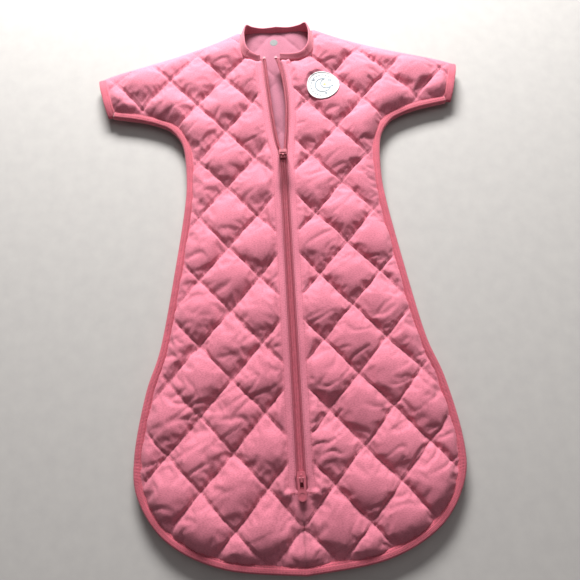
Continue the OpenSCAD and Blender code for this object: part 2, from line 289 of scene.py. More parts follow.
# The side and hem line of both halves as one line.
WHOLE_LINE = np.vstack([(SIDE_LINE * (-1, 1))[::-1], SIDE_LINE[1:]])


def zip_edge(side, y):
    """How far each coil's inner edge is from the middle."""
    opened = np.clip((y - UPPER_Y - 6.5) / (ZIP_TOP - UPPER_Y - 6.5), 0, 1)
    spread = 1.3 * np.clip(np.maximum((y - UPPER_Y + 2) / 4.5, (LOWER_Y + 2 - y) / 4.5), 0, 1)
    if side == LEFT:
        return 0.15 + spread + 15.1 * opened**0.6
    return 0.15 + spread + 5.4 * np.sin(np.pi * opened) - 5.5 * opened**6


def fold_x(y):
    """How far out from the middle the lapels' fold starts. It widens toward the neck."""
    return FOLD_TIP[0] + FOLD_SLOPE * (y - FOLD_TIP[1])


def fold_over(piece):
    """Bakes a piece's transform into its mesh."""
    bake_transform(piece)


def in_neck(points, margin=0.0):
    """Which points lie in the neck opening, a rounded U."""
    x, y = np.abs(points[:, 0]), points[:, 1]
    w, r = NECK_HALF - margin, NECK_R - margin
    centre_y = NECK_FRONT_Y + NECK_R
    square = (x < w) & (y > centre_y) | (x < w - r) & (y > centre_y - r)
    return square | (np.hypot(x - (w - r), y - centre_y) < r)


# ---- the quilt's heights


def wobble(x, y):
    """How far the stitch lines stray, as a share of the gap between them."""
    return 0.02 * noise(x, y, 30, 1) + 0.008 * noise(x, y, 11, 2)


def strayed(x, y):
    """Coordinates across the two families of stitch lines, which lie at whole numbers."""
    u, v, w = x / DIAMOND_X, (y - DIAMOND_Y0) / DIAMOND_Y, wobble(x, y)
    return (u + v) / 2 + w, (u - v) / 2 - w


def puffs(x, y, seed, power=0.5):
    """From 0 on the stitch lines to about 1 in the middle of each diamond.

    The lines that run out toward the side are drawn in less, and more so toward the hem.
    """
    a, b = strayed(x, y)
    i, j = np.floor(a).astype(int), np.floor(b).astype(int)
    share = 0.88 + 0.24 * TABLE[(i * 7 + seed * 13) % 256, (j * 5 + seed * 29) % 256]
    outward = (0.12 + 0.33 * ease((160 - y) / 400)) * np.clip(np.abs(x) / 60, 0, 1)
    raised_a, raised_b = np.where(x < 0, outward, 0), np.where(x < 0, 0, outward)
    across_a = raised_a + (1 - raised_a) * np.abs(np.sin(np.pi * a)) ** power
    across_b = raised_b + (1 - raised_b) * np.abs(np.sin(np.pi * b)) ** power
    return across_a * across_b * share


def puckers(x, y, seed):
    """Small folds across the stitch lines, which fade out into each diamond."""
    a, b = strayed(x, y)
    total = np.zeros_like(x)
    for along, across in ((a, b), (b, a)):
        line = np.round(across)
        off = np.abs(across - line) * DIAMOND_SIDE
        run = along * DIAMOND_SIDE
        # Folds lean a little, so that they spread from the line.
        run = run + 0.12 * off * np.sign(across - line)
        fine = noise(run, line * 91.0 + np.sign(across - line) * 3, 4.6, seed)
        broad = noise(run, line * 57.0, 11.0, seed + 3)
        total += fine * np.exp(-off / 6.5) * (1 - np.exp(-off / 1.0)) * 1.15
        total += broad * np.exp(-off / 13.0) * (1 - np.exp(-off / 2.5)) * 1.2
    return total


def creases(x, y, seed):
    """Soft undulation and long slack folds, deeper toward the hem."""
    along, over = 0.87 * x + 0.5 * y, 0.87 * y - 0.5 * x
    bend = 6 * noise(along, over, 40, seed + 3)
    folds = np.abs(noise(along * 0.34, over + bend, 11, seed + 4))
    folds = (1 - ease(folds / 0.3)) * np.clip(0.5 + 1.4 * noise(x, y, 33, seed + 5), 0, 1)
    return (1 + 0.7 * ease((40 - y) / 300)) * (
        1.5 * noise(x, y, 62, seed)
        + 0.8 * noise(x + 0.5 * y, y - 0.4 * x, 24, seed + 1)
        + 0.35 * noise(x - 0.3 * y, y, 11, seed + 2)
    ) - (0.7 + 2.0 * ease((60 - y) / 280)) * folds


def front_top(x, y, seam, off_zip, cuff, plain=False):
    """Height of the front's outside. seam, off_zip and cuff are distances from those edges."""
    near_zip = 1 - ease((off_zip - 4) / 24)
    level = 10.8 + 3.9 * bulge(seam / 34) + 6.1 * near_zip * bulge(seam / 26)
    # The padding fills out more slowly below the zip's end, where the placket runs into the quilt.
    fill = 11 + 19 * ease((ZIP_BOTTOM - 4 - y) / 18)
    swell = bulge((seam - 3) / 22) * ease((off_zip - 6.5) / fill) * ease((cuff - 6) / 14)
    slack = ease((off_zip - 3) / 12) * bulge(seam / 18) * ease((cuff - 4) / 14)
    if plain:
        folds = 0.4 * puckers(x, y, 2) + 0.6 * creases(x, y, 5)
        return level + 8.0 * swell * puffs(x, y, 1) + slack * folds
    z = level + 10.2 * swell * puffs(x, y, 1)
    z = z + slack * (1.25 * puckers(x, y, 2) + 0.8 * creases(x, y, 5))
    # The flat band beside the zip is drawn in along its stitching.
    band = (1 - ease((off_zip - 6) / 8)) * ease(off_zip / 2)
    return z + band * 0.5 * noise(y, off_zip * 0.4, 5.2, 9)


def front_bottom(x, y, seam, off_zip):
    inner = FRONT_LINING_Z - 1.6 * puffs(x, y, 1) * bulge((seam - 4) / 22) - 0.4 * np.abs(puckers(x, y, 4))
    inner = 9.6 + (inner - 9.6) * bulge(seam / 26)
    tucked = ease((off_zip + SHELL_START - TAPE_W - 0.4) / 6)
    return (TAPE_TOP_Z + 0.15) * (1 - tucked) + inner * tucked


def back_top(x, y, seam):
    rim = 9.0
    level = INSIDE_Z + 1.9 * puffs(x, y, 6) + 0.35 * puckers(x, y, 7)
    return rim + (level - rim) * bulge(seam / 20)


def back_bottom(x, y, seam):
    swell = np.clip(1.5 * puffs(x, y, 6, 0.45), 0, 1)
    level = 3.6 * (1 - swell) + 0.25 * np.abs(puckers(x, y, 8)) * (1 - swell)
    return level + (7.4 - level) * (1 - bulge(seam / 30)) ** 1.2


def cuff_distance(points):
    """How far in from the nearer sleeve's end each point is."""
    far = (columns([np.abs(points[:, 0]), points[:, 1]]) - CUFF_LOW) @ CUFF_IN
    return np.where(points[:, 1] < 200, np.maximum(far, 60), far)


# ---- materials


class Look:
    """A material being made: its shader, and short ways to add nodes to it."""

    def __init__(self, name, colour, roughness, **sockets):
        self.material = bpy.data.materials.new(name)
        self.material.use_nodes = True
        self.material.diffuse_color = (*colour, 1)
        self.tree = self.material.node_tree
        self.shader = self.tree.nodes["Principled BSDF"]
        self.colour = colour
        self.set(self.shader, Base_Color=(*colour, 1), Roughness=roughness, **sockets)

    def set(self, node, **values):
        """Sets a node's properties and sockets, and links a socket whose value is another node's output."""
        for key, value in values.items():
            socket = key.replace("_", " ")
            if hasattr(node, key):
                setattr(node, key, value)
            elif hasattr(value, "links"):
                self.tree.links.new(value, node.inputs[socket])
            else:
                node.inputs[socket].default_value = value

    def add(self, kind, output, **values):
        node = self.tree.nodes.new("ShaderNode" + kind)
        self.set(node, **values)
        return node.outputs[output]

    def plan(self, *scale):
        """The cloth's own flat coordinates, so the pattern stays put as the cloth folds."""
        flat = self.add("UVMap", "UV", uv_map="Plan")
        return self.add("Mapping", "Vector", Vector=flat, Scale=scale or (1, 1, 1))

    def solid(self):
        return self.add("TexCoord", "Object")

    def noise(self, vector, scale, detail=2, roughness=0.5):
        return self.add("TexNoise", "Fac", Vector=vector, Scale=scale, Detail=detail, Roughness=roughness)

    def calc(self, operation, a, b=0.0):
        node = self.tree.nodes.new("ShaderNodeMath")
        node.operation = operation
        for socket, value in zip(node.inputs, (a, b)):
            if hasattr(value, "links"):
                self.tree.links.new(value, socket)
            else:
                socket.default_value = value
        return node.outputs[0]

    def ramp(self, source, *stops):
        """A colour for each height of the source. A stop is a height and a colour."""
        node = self.tree.nodes.new("ShaderNodeValToRGB")
        elements = node.color_ramp.elements
        while len(elements) < len(stops):
            elements.new(0.5)
        for element, (at, colour) in zip(elements, stops):
            element.position = at
            element.color = (*colour, 1)
        self.tree.links.new(source, node.inputs["Fac"])
        return node.outputs["Color"]

    def tone(self, factor, lift=0.0):
        return tuple(min(1, c * factor + lift) for c in self.colour)

    def shades(self, source, *stops):
        """A ramp whose stops are a height, and a factor and a lift for the material's own colour."""
        return self.ramp(source, *[(at, self.tone(*change)) for at, *change in stops])

    def multiply(self, factor, a, b):
        return self.add("Mix", "Result", data_type="RGBA", blend_type="MULTIPLY", Factor=factor, A=a, B=b)

    def paint(self, colour):
        self.set(self.shader, Base_Color=colour)

    def roughness(self, source, low, high):
        self.set(self.shader, Roughness=self.add("MapRange", "Result", Value=source, To_Min=low, To_Max=high))

    def bumps(self, height, strength, distance, **values):
        bump = self.add("Bump", "Normal", Height=height, Strength=strength, Distance=distance, **values)
        self.set(self.shader, Normal=bump)


def knit(name, colour, stitch=0.95, bump=0.35, heather=0.16, sheen=0.35):
    """Jersey: columns of small V stitches with painted shade in the grooves between them, heathered yarn,
    slow tonal change and a soft nap.
    """
    look = Look(
        name, colour, 0.88, Sheen_Weight=sheen, Sheen_Roughness=0.55, Sheen_Tint=(1.0, 0.86, 0.9, 1),
        Specular_IOR_Level=0.22,
    )
    calc, flat = look.calc, look.plan()
    # Each wale is two legs of a V, and each course is a row of them.
    leg = calc("PINGPONG", calc("MULTIPLY", look.add("SeparateXYZ", "X", Vector=flat), 1000 / stitch), 0.5)
    course = calc("MULTIPLY", look.add("SeparateXYZ", "Y", Vector=flat), 1250 / stitch)
    course = calc("SUBTRACT", course, calc("MULTIPLY", leg, 1.3))
    course = calc("SINE", calc("MULTIPLY", course, 2 * math.pi))
    round_leg = calc("MULTIPLY", calc("PINGPONG", leg, 0.25), 4.0)
    flecks = look.noise(look.plan(420, 900, 1), 1.0, 3)
    tone = look.shades(look.noise(flat, 11, 4, 0.6), (0.3, 0.87), (0.7, 1.12, 0.02))
    fleck = look.ramp(flecks, (0.36, (0.80, 0.74, 0.76)), (0.52, (1, 1, 1)), (0.7, (1.12, 1.14, 1.14)))
    # Painted shade: each stitch leg darkens toward its edges, in the grooves between the legs where the bump
    # sinks.
    groove = look.ramp(round_leg, (0.0, (0.84, 0.80, 0.82)), (0.5, (1.03, 1.03, 1.03)))
    look.paint(look.multiply(0.55, look.multiply(min(1.0, heather * 4), tone, fleck), groove))
    look.roughness(flecks, 0.78, 0.96)
    height = calc("ADD", round_leg, calc("MULTIPLY", course, 0.28))
    look.bumps(calc("ADD", height, calc("MULTIPLY", flecks, 0.5)), bump, 0.0004)
    return look.material


def ribbed(name, colour, pitch=1.5, depth=0.5):
    """Rib knit with its ribs across the band, and painted shade in the valleys between them: u runs along the
    band and v across it, in metres.
    """
    look = Look(name, colour, 0.86, Sheen_Weight=0.3, Sheen_Roughness=0.5, Specular_IOR_Level=0.25)
    ribs = look.add(
        "TexWave", "Fac", wave_type="BANDS", bands_direction="X", wave_profile="SIN", Vector=look.plan(),
        Scale=1000 / pitch * 2 * math.pi / 20, Distortion=0.8, Detail=2,
    )
    flecks = look.noise(look.plan(500, 500, 1), 1.0, 4)
    tone = look.shades(look.noise(look.plan(), 30, 3), (0.3, 0.88), (0.7, 1.1))
    # Painted shade: the colour darkens in the valleys between the ribs, where the bump is low.
    groove = look.ramp(ribs, (0.0, (0.8, 0.76, 0.78)), (0.55, (1.03, 1.03, 1.03)))
    fleck = look.ramp(flecks, (0.35, (0.86, 0.83, 0.84)), (0.65, (1.08, 1.08, 1.08)))
    look.paint(look.multiply(0.6, look.multiply(0.55, tone, groove), fleck))
    look.bumps(look.calc("ADD", ribs, look.calc("MULTIPLY", flecks, 0.5)), depth, 0.0005)
    return look.material


def woven(name, colour, pitch=0.8):
    """Plain woven tape, with painted shade in the gaps between its threads."""
    look = Look(name, colour, 0.7, Sheen_Weight=0.15)
    # Painted shade: the darker mortar colour fills the gaps between the threads, which the bump sinks.
    weave = dict(
        Vector=look.plan(1000 / pitch, 1000 / pitch, 1), Scale=1.0, Mortar_Size=0.06, Brick_Width=1.0,
        Row_Height=0.5, Color1=(*look.tone(1.08), 1), Color2=(*look.tone(0.9), 1),
        Mortar=(*look.tone(0.72), 1),
    )
    flecks = look.noise(look.plan(), 260)
    fleck = look.ramp(flecks, (0.35, (0.85, 0.85, 0.85)), (0.65, (1.08, 1.08, 1.08)))
    look.paint(look.multiply(0.7, look.add("TexBrick", "Color", **weave), fleck))
    look.bumps(look.add("TexBrick", "Fac", **weave), 0.5, 0.0003, invert=True)
    return look.material


def yarn(name, colour):
    """Sewing thread and embroidery: a fine twist and uneven tone."""
    look = Look(name, colour, 0.62, Sheen_Weight=0.25)
    twist = look.noise(look.solid(), 900)
    look.paint(look.shades(twist, (0.35, 0.82), (0.65, 1.08)))
    look.bumps(twist, 0.4, 0.0002)
    return look.material


def nylon(name, colour):
    look = Look(name, colour, 0.42)
    grain = look.noise(look.solid(), 380, 3)
    look.paint(look.shades(grain, (0.3, 0.85), (0.7, 1.12)))
    look.roughness(grain, 0.34, 0.55)
    return look.material


def enamel(name, colour):
    """Painted die-cast metal: a smooth coat, a little orange peel, a random tone, and bright spots painted in
    as highlights.
    """
    look = Look(name, colour, 0.36, Coat_Weight=0.35, Coat_Roughness=0.2)
    tone_and_glint = look.noise(look.solid(), 330, 5, 0.7)
    # Painted highlights: the highest noise lifts the colour into bright spots; lower noise only varies the
    # tone at random.
    look.paint(look.shades(tone_and_glint, (0.25, 0.8), (0.62, 1.0), (0.76, 1.15, 0.03)))
    look.roughness(tone_and_glint, 0.28, 0.5)
    look.bumps(look.noise(look.solid(), 900), 0.12, 0.0002)
    return look.material


JERSEY = knit("jersey_knit", (0.73, 0.215, 0.30), sheen=0.13)
LINING = knit("lining_knit", (0.46, 0.165, 0.235), heather=0.1, sheen=0.08)
BINDING = ribbed("binding_rib", (0.62, 0.13, 0.185), depth=0.5)
NECK_RIB = ribbed("neck_rib", (0.72, 0.2, 0.275), pitch=1.7)
TAPE = woven("zip_tape_weave", (0.45, 0.09, 0.14))
COIL = nylon("zip_coil_nylon", (0.60, 0.12, 0.18))
METAL = enamel("zip_enamel", (0.55, 0.13, 0.18))
# The quilting thread is darker than the jersey: real stitching, and also painted shade for the dark lines of
# the stitched creases.
THREAD = yarn("sewing_thread", (0.46, 0.10, 0.15))
BAND_THREAD = yarn("binding_thread", (0.40, 0.085, 0.125))
PATCH = knit("patch_cloth", (0.79, 0.80, 0.80), stitch=0.9, bump=0.25, heather=0.02, sheen=0.1)
PATCH_BLUE = yarn("patch_grey_blue", (0.22, 0.31, 0.38))
PATCH_GOLD = yarn("patch_gold", (0.80, 0.62, 0.20))
LABEL = yarn("label_transfer", (0.125, 0.14, 0.14))

# ---- padded panels


def inflated(start, quads, held, frames=22):
    """How cloth simulation moves a sheet held along its stitching, with slack in it and pressure under it.

    There is more slack toward the hem.
    """
    mesh = bpy.data.meshes.new("sheet_sim")
    mesh.from_pydata((start * MM).tolist(), [], quads.tolist())
    obj = placed("sheet_sim", mesh)
    group = obj.vertex_groups.new(name="held")
    for weight in np.unique(np.round(held, 2)):
        if weight > 0:
            group.add(np.nonzero(np.round(held, 2) == weight)[0].tolist(), float(weight), "REPLACE")
    loose = obj.vertex_groups.new(name="loose")
    share = np.round(ease((60 - start[:, 1]) / 320) * 20) / 20
    for weight in np.unique(share):
        loose.add(np.nonzero(share == weight)[0].tolist(), float(weight), "REPLACE")
    cloth = obj.modifiers.new("cloth", "CLOTH")
    s = cloth.settings
    for key, value in dict(
        quality=4, mass=0.05, tension_stiffness=12, compression_stiffness=12, shear_stiffness=3,
        bending_stiffness=0.6, tension_damping=4, compression_damping=4, shear_damping=4, bending_damping=0.4,
        air_damping=2, vertex_group_mass="held", pin_stiffness=1.5, vertex_group_shrink="loose",
        shrink_min=-0.024, shrink_max=-0.05, use_pressure=True, uniform_pressure_force=4,
    ).items():
        setattr(s, key, value)
    s.effector_weights.gravity = 0
    cloth.collision_settings.use_collision = False
    cloth.collision_settings.use_self_collision = False
    cloth.point_cache.frame_start, cloth.point_cache.frame_end = 1, frames
    scene = bpy.context.scene
    for f in range(1, frames + 1):
        scene.frame_set(f)
    graph = bpy.context.evaluated_depsgraph_get()
    result = np.empty(len(start) * 3, np.float32)
    obj.evaluated_get(graph).data.vertices.foreach_get("co", result)
    result = result.reshape(-1, 3).astype(float) / MM
    scene.frame_set(1)
    bpy.data.objects.remove(obj)
    bpy.data.meshes.remove(mesh)
    moved = result - start
    moved[:, :2] = np.clip(moved[:, :2], -4, 4)
    moved[:, 2] = np.clip(moved[:, 2], -3, 9)
    return moved


CELL = 26


def lattice_grid():
    """Points on a grid that runs along the stitch lines, CELL steps to a diamond, and which are on a line."""
    a = np.arange(-9 * CELL, 13 * CELL + 1)
    b = np.arange(-13 * CELL, 9 * CELL + 1)
    a, b = np.meshgrid(a, b, indexing="ij")
    on_line = (a % CELL == 0) | (b % CELL == 0)
    a, b = a / CELL, b / CELL
    x, y = DIAMOND_X * (a + b), DIAMOND_Y0 + DIAMOND_Y * (a - b)
    w = wobble(x, y)
    a, b = a - w, b + w
    return np.stack([DIAMOND_X * (a + b), DIAMOND_Y0 + DIAMOND_Y * (a - b)], -1), on_line


def panel(name, side, heights, keep, edge_lines, mats, pins=None):
    """One padded panel: an outside and an inside sheet over the same plan, closed along every edge.

    heights gives both surfaces, keep says which points belong, and points along the edge are drawn onto
    the edge lines. Its grid runs along the stitch lines. pins gives the points that the stitching holds.
    """
    grid, on_line = lattice_grid()
    points = grid.reshape(-1, 2) * (side, 1)
    ok = keep(points).reshape(grid.shape[:2])
    cell = ok[:-1, :-1] & ok[1:, :-1] & ok[:-1, 1:] & ok[1:, 1:]
    index = np.arange(len(points)).reshape(grid.shape[:2])
    r, c = np.nonzero(cell)
    quads = columns([index[r, c], index[r, c + 1], index[r + 1, c + 1], index[r + 1, c]])
    used = np.unique(quads)
    renumber = np.full(len(points), -1)
    renumber[used] = np.arange(len(used))
    quads, points, on_line = renumber[quads], points[used], on_line.ravel()[used]
    p, q, t = (points[quads[:, k]] for k in (0, 1, 2))
    turn = (q - p)[:, 0] * (t - q)[:, 1] - (q - p)[:, 1] * (t - q)[:, 0]
    if turn.mean() < 0:
        quads = quads[:, ::-1]
    edges = np.vstack([quads[:, [k, (k + 1) % 4]] for k in range(4)])
    key = np.sort(edges, axis=1)
    _, first, count = np.unique(key, axis=0, return_index=True, return_counts=True)
    border = edges[first[count == 1]]
    rim = np.unique(border)
    even = points.copy()
    step = DIAMOND_SIDE / CELL
    best = np.full(len(rim), 1.9 * step)
    for line in edge_lines:
        far, place = nearest(even[rim], line)
        close = far < best
        points[rim[close]] = place[close]
        best[close] = far[close]
    top, bottom = heights(points)
    n = len(points)
    outside = columns([points, top])
    if pins is not None:
        start, held = pins(points, on_line)
        held[rim] = 1
        moved = inflated(columns([even, start]), quads, held)
        # The two fronts keep one smooth surface where they meet below the zip.
        meeting = np.where(points[:, 1] < ZIP_BOTTOM - 6, ease(np.abs(points[:, 0]) / 12), 1)
        outside = columns([points, start]) + moved * meeting[:, None]
        inner = on_line & (np.minimum(*seam_distance(points)) > 14)
        outside[inner, 2] -= 1.2
        outside[:, 2] = np.maximum(outside[:, 2], bottom + 0.7)
    verts = np.vstack([outside, columns([points, bottom])])
    up, down = quads, (quads + n)[:, ::-1]
    walls = columns([border[:, 0], border[:, 0] + n, border[:, 1] + n, border[:, 1]])
    faces = np.vstack([up, down, walls])
    slots = np.concatenate([np.zeros(len(up)), np.ones(len(down)), np.zeros(len(walls))])
    if heights is back_heights:
        slots[: len(up)], slots[len(up) : len(up) + len(down)] = 1, 0
    uv = np.vstack([points, points]) * MM
    piece = mesh_object(name, verts, faces, mats, uv, slots)
    # The walls are left unsmoothed, so that the sheets shade right up to their edges.
    piece.data.polygons.foreach_set("use_smooth", np.arange(len(faces)) < len(up) + len(down))
    return piece


def front_start(side, y):
    """Where a front begins, out from the middle: beside the coil, or at the seam below the zip."""
    edge = zip_edge(side, y) + SHELL_START
    return np.where(y < ZIP_BOTTOM - 2, edge * ease((y - ZIP_BOTTOM + 6) / 4), edge)


OUTLINE_RING = np.vstack([[(0.0, -HALF_LENGTH)], SIDE_LINE[1:], SHOULDER_LINE, NECK_BACK])
QUILT_EDGE = 3.5


def seam_distance(points):
    """How far each point is from the side and hem, and from the shoulder seam."""
    flat = columns([np.abs(points[:, 0]), points[:, 1]])
    return nearest(flat, SIDE_LINE)[0], nearest(flat, SHOULDER_LINE)[0]


def in_outline(points):
    side_d, shoulder_d = seam_distance(points)
    ring = inside(columns([np.abs(points[:, 0]) + 1e-6, points[:, 1]]), OUTLINE_RING)
    return ring & (side_d > QUILT_EDGE) & (shoulder_d > 0.6) & (cuff_distance(points) > 5)


def front_keep(side):
    def keep(points):
        across = points[:, 0] * side
        return in_outline(points) & (across > front_start(side, points[:, 1])) & ~in_neck(points)

    return keep


def zip_distance(side, points):
    """How far each point is from the front's edge at the zip, or from the zip's end below it."""
    across = points[:, 0] * side
    off = across - zip_edge(side, points[:, 1]) - SHELL_START
    below = points[:, 1] < ZIP_BOTTOM - 4
    return np.where(below, np.hypot(across, 0.5 * (points[:, 1] - ZIP_BOTTOM + 4)), off), below


def front_heights(side, plain=False):
    def heights(points):
        side_d, shoulder_d = seam_distance(points)
        # The binding lies over the quilt's own edge, so the padding rises from behind it.
        seam = np.minimum(np.maximum(side_d - 4.5, 0), shoulder_d)
        off_zip, below = zip_distance(side, points)
        x, y, cuff = points[:, 0], points[:, 1], cuff_distance(points)
        top = front_top(x, y, seam, off_zip, cuff, plain)
        top = np.maximum(top, TAPE_TOP_Z + 0.95 - 30 * ease((off_zip - 6.8) / 18))
        bottom = front_bottom(x, y, seam, np.where(below, 40.0, off_zip))
        return top, np.minimum(bottom, top - 0.7)

    return heights


def front_pins(side):
    def pins(points, on_line):
        seam = np.minimum(*seam_distance(points))
        off_zip, below = zip_distance(side, points)
        start = front_heights(side, plain=True)(points)[0]
        edge = (off_zip < 8.5) & ~below | (seam < 5.5) | (cuff_distance(points) < 7.5) | in_neck(points, -3.5)
        edge |= below & (np.abs(points[:, 0]) < 1.5)
        return start, np.where(edge | on_line, 1.0, 0.0)

    return pins


def back_keep(points):
    return in_outline(points) & (points[:, 1] < neck_back_y(points[:, 0]) - 3)


def back_heights(points):
    x, y = points.T
    seam = np.minimum(*seam_distance(points))
    return back_top(x, y, seam), np.maximum(0, back_bottom(x, y, seam))


def inset_line(line, distance):
    heading = np.gradient(line, axis=0)
    return line + distance * unit(columns([-heading[:, 1], heading[:, 0]]))


SIDE_EDGE = inset_line(SIDE_LINE, QUILT_EDGE)
SIDE_EDGE[0] = (0, -HALF_LENGTH + QUILT_EDGE)
SHOULDER_EDGE = inset_line(SHOULDER_LINE, 0.6)
NECK_EDGE = np.vstack(
    [
        [(0, NECK_FRONT_Y), (NECK_HALF - NECK_R, NECK_FRONT_Y)],
        [
            (NECK_HALF - NECK_R + NECK_R * math.sin(t), NECK_FRONT_Y + NECK_R - NECK_R * math.cos(t))
            for t in np.linspace(0.1, math.pi / 2, 12)
        ],
        [(NECK_HALF, HALF_LENGTH - 8)],
    ]
)
ZIP_YS = np.concatenate(
    [[-HALF_LENGTH], np.arange(-8, 0, 0.5) + ZIP_BOTTOM, np.arange(ZIP_BOTTOM, HALF_LENGTH, 4.0)]
)

quilts = {}
for side, word in SIDES.items():
    zip_line = columns([front_start(side, ZIP_YS), ZIP_YS])
    edge_lines = [line * (side, 1) for line in (SIDE_EDGE, SHOULDER_EDGE, NECK_EDGE, zip_line)]
    quilt = panel(
        word + "_front_quilt", side, front_heights(side), front_keep(side), edge_lines, [JERSEY, LINING],
        front_pins(side),
    )
    quilts[side] = quilt
    cad_layers = []
    for part in ("front", "lapel"):
        cad_layers += [f"{word}_{part}_{layer}" for layer in ("shell", "batting", "lining")]
    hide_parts(*cad_layers)
    fold_over(quilt)

PATCH_AT, PATCH_R = round_node("chest_patch")


def patch_terms(points):
    x, y = ((np.asarray(points, float)[:, :2] - PATCH_AT) / PATCH_R).T
    return columns([np.ones_like(x), x, y, x * x, x * y, y * y])


def pressed_flat(quilt):
    """Smooths the quilt under the patch, and gives the patch's own gentle curve as coefficients."""
    mesh = quilt.data
    co = np.empty(len(mesh.vertices) * 3)
    mesh.vertices.foreach_get("co", co)
    co = co.reshape(-1, 3) / MM
    n = len(co) // 2
    under = np.nonzero(np.hypot(*(co[:n, :2] - PATCH_AT).T) < PATCH_R + 1.5)[0]
    curve = np.linalg.lstsq(patch_terms(co[under]), co[under, 2], rcond=None)[0]
    curve[0] += 0.5
    curve[3:] *= 0.45
    co[under, 2] = np.minimum(co[under, 2], patch_terms(co[under]) @ curve - 0.5)
    mesh.vertices.foreach_set("co", (co * MM).ravel())
    mesh.update()
    return curve


PATCH_CURVE = pressed_flat(quilts[RIGHT])

back_lines = [line * (side, 1) for side in SIDES for line in (SIDE_EDGE, SHOULDER_EDGE)]
back_quilt = panel("back_quilt", RIGHT, back_heights, back_keep, back_lines, [JERSEY, LINING])
fixed(back_quilt, "jersey", "back_shell", "back_batting", "back_lining")

# ---- bands


def band_profile(width, height, grooves=(), n=36, power=2.6, depth=0.5):
    """A rolled band's cross-section, with shallow stitched grooves at places across it."""
    t = np.linspace(0, 2 * np.pi, n, endpoint=False)
    c, s = np.cos(t), np.sin(t)
    across = width / 2 * np.sign(c) * np.abs(c) ** (2 / power)
    up = height / 2 * np.sign(s) * np.abs(s) ** (2 / power)
    for g in grooves:
        up = up - depth * np.sign(up) * np.exp(-(((across - g) / 0.7) ** 2))
    return across, up


def banded(name, rings, runs, profile, mat, closed=False, flip=False):
    """A band through rings. Its u runs along the band and its v round it."""
    around = distance_along(columns(profile))
    uv = [(run * MM, s * MM) for run in runs for s in around]
    return mesh_object(name, *swept(rings, closed, flip), [mat], uv)


def band_along(
    name, path, across_dirs, up_dirs, width, height, mat, closed=False, grooves=(), swell=0.0, seed=3,
    power=2.6,
):
    """A band swept along a path. Its rings get a slight unevenness from swell."""
    across, up = band_profile(width, height, grooves, power=power)
    runs = distance_along(path)
    scale = 1 + swell * noise(runs, np.full(len(runs), 0.3), 5.0, seed)
    rings = [
        p + across[:, None] * a + up[:, None] * rise * u
        for p, a, u, rise in zip(path, across_dirs, up_dirs, scale)
    ]
    return banded(name, rings, runs, (across, up), mat, closed)


def normals_of(path, closed=False):
    """Level directions to the left of a path."""
    if closed:
        heading = np.roll(path, -1, axis=0) - np.roll(path, 1, axis=0)
    else:
        heading = np.gradient(path, axis=0)
    return unit(columns([-heading[:, 1], heading[:, 0], np.zeros(len(path))]))


UP = np.array([0.0, 0.0, 1.0])
BINDING_SIZE = (10.4, 8.6)
# Where its two rows of stitching run, across it from its middle.
BINDING_ROWS = (3.2, -0.4)
flat_line = evenly(WHOLE_LINE, 2.5)
binding_path = columns([inset_line(flat_line, 5.0), np.full(len(flat_line), 9.9)])
binding_path = binding_path[cuff_distance(binding_path[:, :2]) > 8]
binding_normals = normals_of(binding_path)
binding = band_along(
    "side_hem_binding", binding_path, binding_normals, np.tile(UP, (len(binding_path), 1)),
    *BINDING_SIZE, BINDING, grooves=BINDING_ROWS, swell=0.05,
)
fixed(binding, "binding", "side_and_hem_binding")


def cuff_loop(n=44):
    """The sleeve's open end: a flattened ring of points over the front and back layers."""
    s = (1 - np.cos(np.linspace(0, np.pi, n))) / 2
    length = np.linalg.norm(CUFF_HIGH - CUFF_LOW)
    d = np.minimum(s, 1 - s) * length
    plan = CUFF_LOW + s[:, None] * length * CUFF_ALONG
    upper = columns([plan, 9.9 + 6.4 * bulge(d / 26)])
    lower = columns([plan, 9.3 - 6.9 * bulge(d / 26)])[::-1]
    return np.vstack([upper[:-1], lower[:-1]])


def cuff(side):
    loop = evenly(np.vstack([cuff_loop(), cuff_loop()[:1]]), 2.0)[:-1]
    heading = unit(np.roll(loop, -1, axis=0) - np.roll(loop, 1, axis=0))
    inward = np.array([*CUFF_IN, 0.0])
    mirror = (side, 1, 1)
    return band_along(
        SIDES[side] + "_cuff", (loop + inward * 5.0) * mirror, np.tile(inward * mirror, (len(loop), 1)),
        np.cross(heading, inward) * mirror, 10.2, 2.7, BINDING,
        closed=True, grooves=(2.6, 0.6), swell=0.04, seed=5 + side, power=3.2,
    )


for side, word in SIDES.items():
    fixed(cuff(side), "binding", word + "_cuff_band")


def neck_stations(side):
    """Where the neck band's sewn edge and its free edge run, from the zip to the middle of the back."""
    start = zip_edge(side, ZIP_TOP) + 7.5
    seam = [
        (start, 290.5, 20.6), (0.5 * (start + 29), 289.2, 20.4), (31, 290.2, 20.0), (43, 296.5, 19.4),
        (50, 308, 18.2), (52, 322, 15.6), (51, 334, 12.8), (46, 342.5, 10.6), (36, 345.5, 9.6),
        (20, 346.2, 9.0), (0, 346.4, 8.8),
    ]
    free = [
        (start, 298.4, 23.6), (0.5 * (start + 29), 297.4, 24.0), (29, 298.2, 24.6), (36.5, 303, 25.4),
        (42, 311.5, 26.4), (43.8, 323, 26.8), (43.8, 337, 26.2), (40.5, 348.5, 24.0), (33, 349.6, 17.6),
        (18, 349.4, 13.6), (0, 350.4, 14.6),
    ]
    seam, free = catmull(seam, 8), catmull(free, 8)
    return seam * (side, 1, 1), (seam + 0.82 * (free - seam)) * (side, 1, 1)


